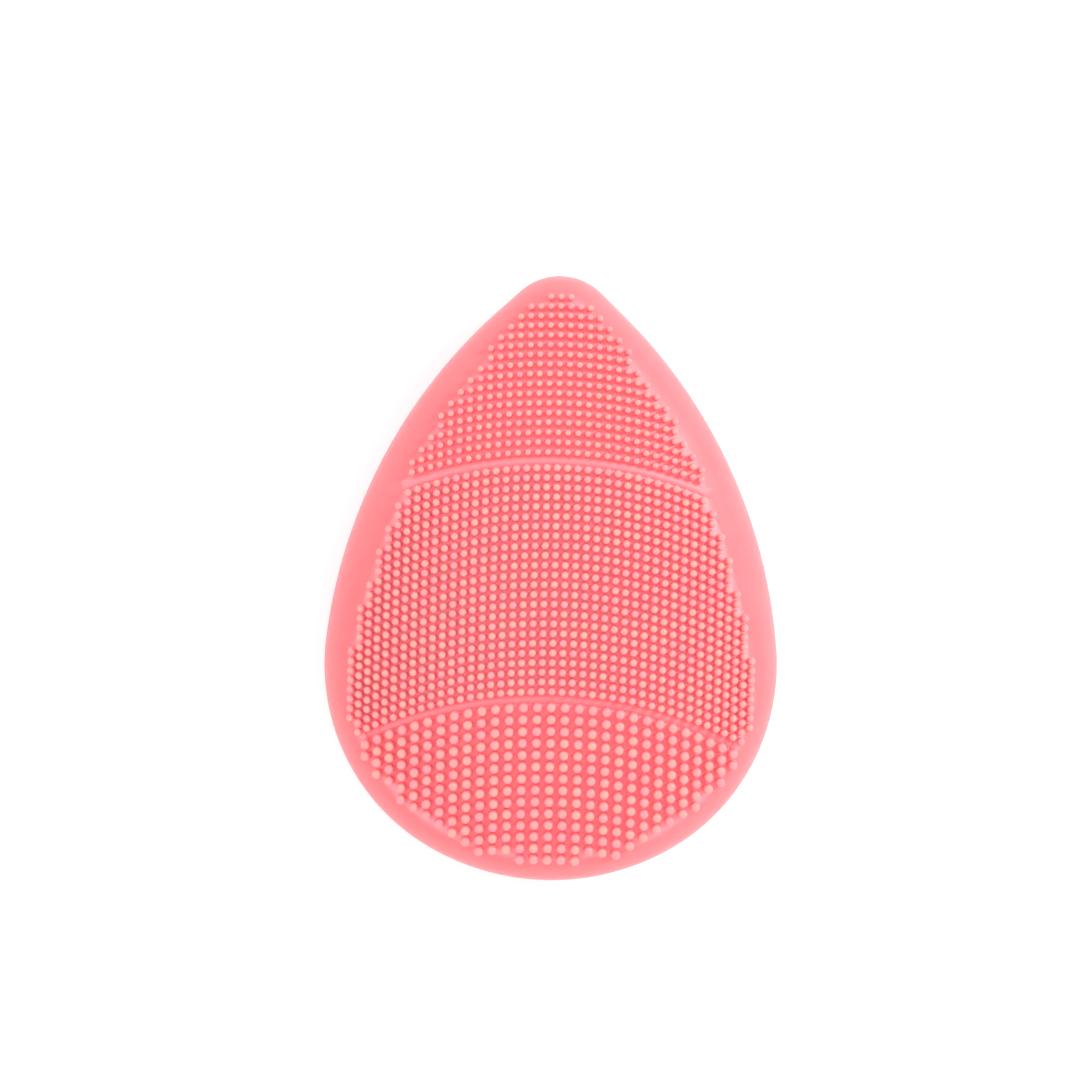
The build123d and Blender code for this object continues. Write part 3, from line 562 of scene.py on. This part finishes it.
# ================================================================== materials
class Nodes:
    """A material's node tree, with its Principled shader."""

    def __init__(self, name):
        self.material = bpy.data.materials.new(name)
        self.material.use_nodes = True
        self.tree = self.material.node_tree
        self.shader = self.tree.nodes["Principled BSDF"]
        self.where = self.tree.nodes.new("ShaderNodeTexCoord").outputs["Object"]

    def add(self, kind, **settings):
        node = self.tree.nodes.new(kind)
        for key, value in settings.items():
            if hasattr(node, key):
                setattr(node, key, value)
            else:
                node.inputs[key].default_value = value
        return node

    def link(self, output, socket):
        self.tree.links.new(output, socket)

    def stretched(self, scale):
        """The object's coordinates, scaled along each axis."""
        mapping = self.add("ShaderNodeMapping")
        mapping.inputs["Scale"].default_value = scale
        self.link(self.where, mapping.inputs["Vector"])
        return mapping.outputs["Vector"]

    def noise(self, scale, detail=3.0, roughness=0.5, where=None):
        node = self.add("ShaderNodeTexNoise", Scale=scale, Detail=detail, Roughness=roughness)
        self.link(where or self.where, node.inputs["Vector"])
        return node.outputs["Fac"]

    def cells(self, scale):
        node = self.add("ShaderNodeTexVoronoi", Scale=scale)
        self.link(self.where, node.inputs["Vector"])
        return node.outputs["Distance"]

    def span(self, value, low, high, from_low=0.3, from_high=0.7):
        node = self.add("ShaderNodeMapRange")
        self.link(value, node.inputs["Value"])
        node.inputs["From Min"].default_value = from_low
        node.inputs["From Max"].default_value = from_high
        node.inputs["To Min"].default_value = low
        node.inputs["To Max"].default_value = high
        return node.outputs["Result"]

    def mix(self, share, a, b):
        """A colour between a and b, each a colour or an output."""
        node = self.add("ShaderNodeMix", data_type="RGBA")
        self.link(share, node.inputs["Factor"])
        for socket, value in ((node.inputs[6], a), (node.inputs[7], b)):
            if isinstance(value, tuple):
                socket.default_value = (*value, 1.0)
            else:
                self.link(value, socket)
        return node.outputs[2]

    def attribute(self, name):
        return self.add("ShaderNodeAttribute", attribute_name=name).outputs["Fac"]

    def colour(self, output):
        self.link(output, self.shader.inputs["Base Color"])

    def roughness(self, output):
        self.link(output, self.shader.inputs["Roughness"])

    def bump(self, heights):
        """Bumps stacked on each other: (height output, depth in millimetres)."""
        last = None
        for height, depth in heights:
            node = self.add("ShaderNodeBump", Strength=1.0, Distance=depth * MM)
            self.link(height, node.inputs["Height"])
            if last:
                self.link(last, node.inputs["Normal"])
            last = node.outputs["Normal"]
        self.link(last, self.shader.inputs["Normal"])

    def fixed(self, **values):
        for key, value in values.items():
            self.shader.inputs[key.replace("_", " ")].default_value = value


def silicone():
    """Satin translucent silicone with painted light: a painted highlight on the stems' tips, a painted glow
    where light comes down between them, and a faint painted pink emission.
    """
    m = Nodes("silicone_skin")
    mottle = m.noise(170.0, 4.0, 0.6)
    bare = m.mix(m.span(mottle, 0.0, 1.0), (0.985, 0.182, 0.200), (0.99, 0.198, 0.215))
    # painted light: a paler pink for the skin, stems and ridges between the bristles, where shade falls
    painted_glow_colour = m.mix(m.span(mottle, 0.0, 1.0), (0.992, 0.375, 0.425), (0.995, 0.395, 0.445))
    skin = m.mix(m.attribute("inside"), bare, painted_glow_colour)
    # painted highlight: the stems' tops are painted paler, each tip with its own random tint
    tips = m.mix(m.attribute("tint"), (0.99, 0.325, 0.285), (0.99, 0.270, 0.290))
    up = m.span(m.attribute("rise"), 0.0, 1.0, 0.60, 0.86)
    m.colour(m.mix(up, skin, tips))
    fine = m.noise(5200.0, 2.0)
    m.roughness(m.span(m.noise(900.0, 2.0), 0.38, 0.48))
    m.bump([(mottle, 0.02), (fine, 0.006)])
    # painted glow: a faint pink emission, though the silicone is no lamp
    m.fixed(IOR=1.41, Subsurface_Weight=0.25, Subsurface_Radius=(1.0, 0.5, 0.45), Subsurface_Scale=0.0006,
            Emission_Color=(1.0, 0.12, 0.18, 1.0), Emission_Strength=0.05,
            Sheen_Weight=0.08, Sheen_Roughness=0.4, Sheen_Tint=(1.0, 0.86, 0.88, 1.0))
    return m.material


def moulded(name, low, high, rough, grain=2600.0, depth=0.004, **fixed):
    """A moulded plastic or rubber: slight clouding, and the mould's spark-eroded grain."""
    m = Nodes(name)
    m.colour(m.mix(m.span(m.noise(120.0, 3.0), 0.0, 1.0), low, high))
    m.roughness(m.span(m.noise(700.0, 3.0), rough[0], rough[1]))
    m.bump([(m.noise(grain, 2.0), depth)])
    m.fixed(**fixed)
    return m.material


def drawn_metal(name, low, high, rough, stretch):
    """Turned or drawn metal with fine lines along one direction."""
    m = Nodes(name)
    lines = m.noise(1.0, 4.0, 0.6, where=m.stretched(stretch))
    m.colour(m.mix(m.span(lines, 0.0, 1.0), low, high))
    m.roughness(m.span(lines, rough[0], rough[1]))
    m.bump([(lines, 0.003)])
    m.fixed(Metallic=1.0)
    return m.material


def laminate():
    """Green solder mask over a woven glass board."""
    m = Nodes("board_laminate")
    weave = m.noise(1.0, 1.0, 0.5, where=m.stretched((2200.0, 260.0, 260.0)))
    weft = m.noise(1.0, 1.0, 0.5, where=m.stretched((260.0, 2200.0, 260.0)))
    cloth = m.mix(m.span(weave, 0.0, 1.0), (0.012, 0.105, 0.042), (0.020, 0.150, 0.060))
    m.colour(m.mix(m.span(weft, 0.0, 0.6), cloth, (0.030, 0.185, 0.080)))
    m.roughness(m.span(weft, 0.25, 0.4))
    m.bump([(weave, 0.006), (weft, 0.006)])
    return m.material


def foam():
    """Open-cell foam: pits between paler cell walls."""
    m = Nodes("foam_grey")
    pits = m.cells(1900.0)
    m.colour(m.mix(m.span(pits, 0.0, 1.0, 0.1, 0.6), (0.05, 0.05, 0.055), (0.16, 0.16, 0.17)))
    m.roughness(m.span(pits, 0.8, 0.95, 0.1, 0.6))
    m.bump([(pits, 0.12)])
    return m.material


def foil():
    """The battery pouch's aluminium film, softly creased."""
    m = Nodes("battery_foil")
    creases = m.noise(160.0, 5.0, 0.7)
    m.colour(m.mix(m.span(creases, 0.0, 1.0), (0.62, 0.63, 0.65), (0.78, 0.79, 0.81)))
    m.roughness(m.span(creases, 0.28, 0.45))
    m.bump([(creases, 0.12), (m.noise(1800.0, 2.0), 0.004)])
    m.fixed(Metallic=1.0)
    return m.material


def slot_materials():
    """One finish for each of the record's material slots."""
    return {
        "silicone_skin": silicone(),
        "button_cap": moulded("button_cap", (0.66, 0.120, 0.150), (0.69, 0.135, 0.165), (0.40, 0.50),
                              Subsurface_Weight=0.25, Subsurface_Radius=(1.0, 0.3, 0.28),
                              Subsurface_Scale=0.0008),
        "housing_plastic": moulded("housing_plastic", (0.80, 0.72, 0.70), (0.84, 0.77, 0.75), (0.35, 0.48)),
        "seal_rubber": moulded("seal_rubber", (0.028, 0.028, 0.032), (0.04, 0.04, 0.045), (0.6, 0.75)),
        "board_laminate": laminate(),
        "black_plastic": moulded("black_plastic", (0.010, 0.010, 0.011), (0.018, 0.018, 0.02), (0.45, 0.6)),
        "ceramic_tan": moulded("ceramic_tan", (0.30, 0.17, 0.075), (0.37, 0.215, 0.10), (0.5, 0.65)),
        "clear_plastic": moulded("clear_plastic", (0.90, 0.88, 0.85), (0.94, 0.93, 0.91), (0.10, 0.18),
                                 depth=0.001, Transmission_Weight=0.7, IOR=1.49),
        "white_plastic": moulded("white_plastic", (0.76, 0.76, 0.73), (0.82, 0.82, 0.79), (0.35, 0.5)),
        "foam_grey": foam(),
        "battery_foil": foil(),
        "steel": drawn_metal("steel", (0.50, 0.51, 0.53), (0.62, 0.63, 0.65), (0.22, 0.38),
                             (300.0, 300.0, 5000.0)),
        "brass": drawn_metal("brass", (0.60, 0.36, 0.11), (0.72, 0.46, 0.16), (0.20, 0.36),
                             (4000.0, 300.0, 4000.0)),
        "iron": moulded("iron", (0.10, 0.10, 0.11), (0.16, 0.16, 0.17), (0.5, 0.7), grain=1200.0,
                        depth=0.03, Metallic=0.85),
        "lead_red": moulded("lead_red", (0.42, 0.010, 0.009), (0.50, 0.014, 0.012), (0.35, 0.5)),
        "lead_black": moulded("lead_black", (0.010, 0.010, 0.010), (0.017, 0.017, 0.017), (0.35, 0.5)),
    }


def paint(piece, material):
    piece.data.materials.clear()
    piece.data.materials.append(material)


# ================================================================== floor, light and camera
def studio():
    """A pale floor under the brush, even light all round, and a soft key from the upper right."""
    corners = [(x * FLOOR_HALF, y * FLOOR_HALF, -FLOOR_DROP)
               for x, y in ((-1, -1), (1, -1), (1, 1), (-1, 1))]
    mesh = bpy.data.meshes.new("floor")
    mesh.from_pydata(corners, [], [(0, 1, 2, 3)])
    floor = bpy.data.objects.new("floor", mesh)
    bpy.context.scene.collection.objects.link(floor)
    m = Nodes("floor")
    m.colour(m.mix(m.noise(40.0, 3.0), (0.90, 0.90, 0.90), (0.93, 0.93, 0.93)))
    m.fixed(Roughness=0.9, Emission_Color=(1.0, 1.0, 1.0, 1.0), Emission_Strength=0.2)
    paint(floor, m.material)

    world = bpy.data.worlds.new("studio")
    world.use_nodes = True
    sky = world.node_tree.nodes["Background"].inputs
    sky["Color"].default_value = (1.0, 1.0, 1.0, 1.0)
    sky["Strength"].default_value = 1.04
    bpy.context.scene.world = world

    lamp("key", (0.42, 0.20, 0.48), 0.22, 2.4)
    lamp("fill", (-0.45, -0.15, 0.55), 0.5, 0.8)


def lamp(name, place, size, watts):
    """A round soft light that faces the origin, with its place and size in metres."""
    data = bpy.data.lights.new(name, "AREA")
    data.shape = "DISK"
    data.size = size
    data.energy = watts
    light = bpy.data.objects.new(name, data)
    light.location = place
    light.rotation_euler = (-Vector(place)).to_track_quat("-Z", "Y").to_euler()
    bpy.context.scene.collection.objects.link(light)


def camera():
    """Above the bristled face, a little to its left, with the brush leaning a little to the right."""
    aim = Vector((-2.40, 6.37, 12.0)) * MM
    side_tilt = math.radians(0.5)
    roll = math.radians(1.47)
    back = Vector((-math.sin(side_tilt), 0.0, math.cos(side_tilt)))
    up = Vector((-math.sin(roll), math.cos(roll), 0.0))
    right = up.cross(back).normalized()
    up = back.cross(right)
    data = bpy.data.cameras.new("camera")
    data.sensor_width = SENSOR
    data.lens = SENSOR * CAMERA_DISTANCE / FRAME_WIDTH
    view = bpy.data.objects.new("camera", data)
    view.matrix_world = Matrix((right, up, back)).transposed().to_4x4()
    view.location = aim + back * CAMERA_DISTANCE * MM
    bpy.context.scene.collection.objects.link(view)
    bpy.context.scene.camera = view


# ================================================================== the scene
finishes = slot_materials()
slot_of = {part["node"]: part["material_slot"] for part in frame["record"]["subparts"]}

pieces = [front_skin(), rear_skin()]
pieces += [ridge(name, *shape) for name, shape in RIDGES.items()]
for field in FIELDS:
    pieces += bristle_field(field)
for piece in pieces:
    paint(piece, finishes["silicone_skin"])
paint(foam_pad(), finishes["foam_grey"])
for name, node in frame["nodes"].items():
    paint(node, finishes[slot_of[name]])

bpy.context.scene.view_settings.view_transform = "Standard"
studio()
camera()
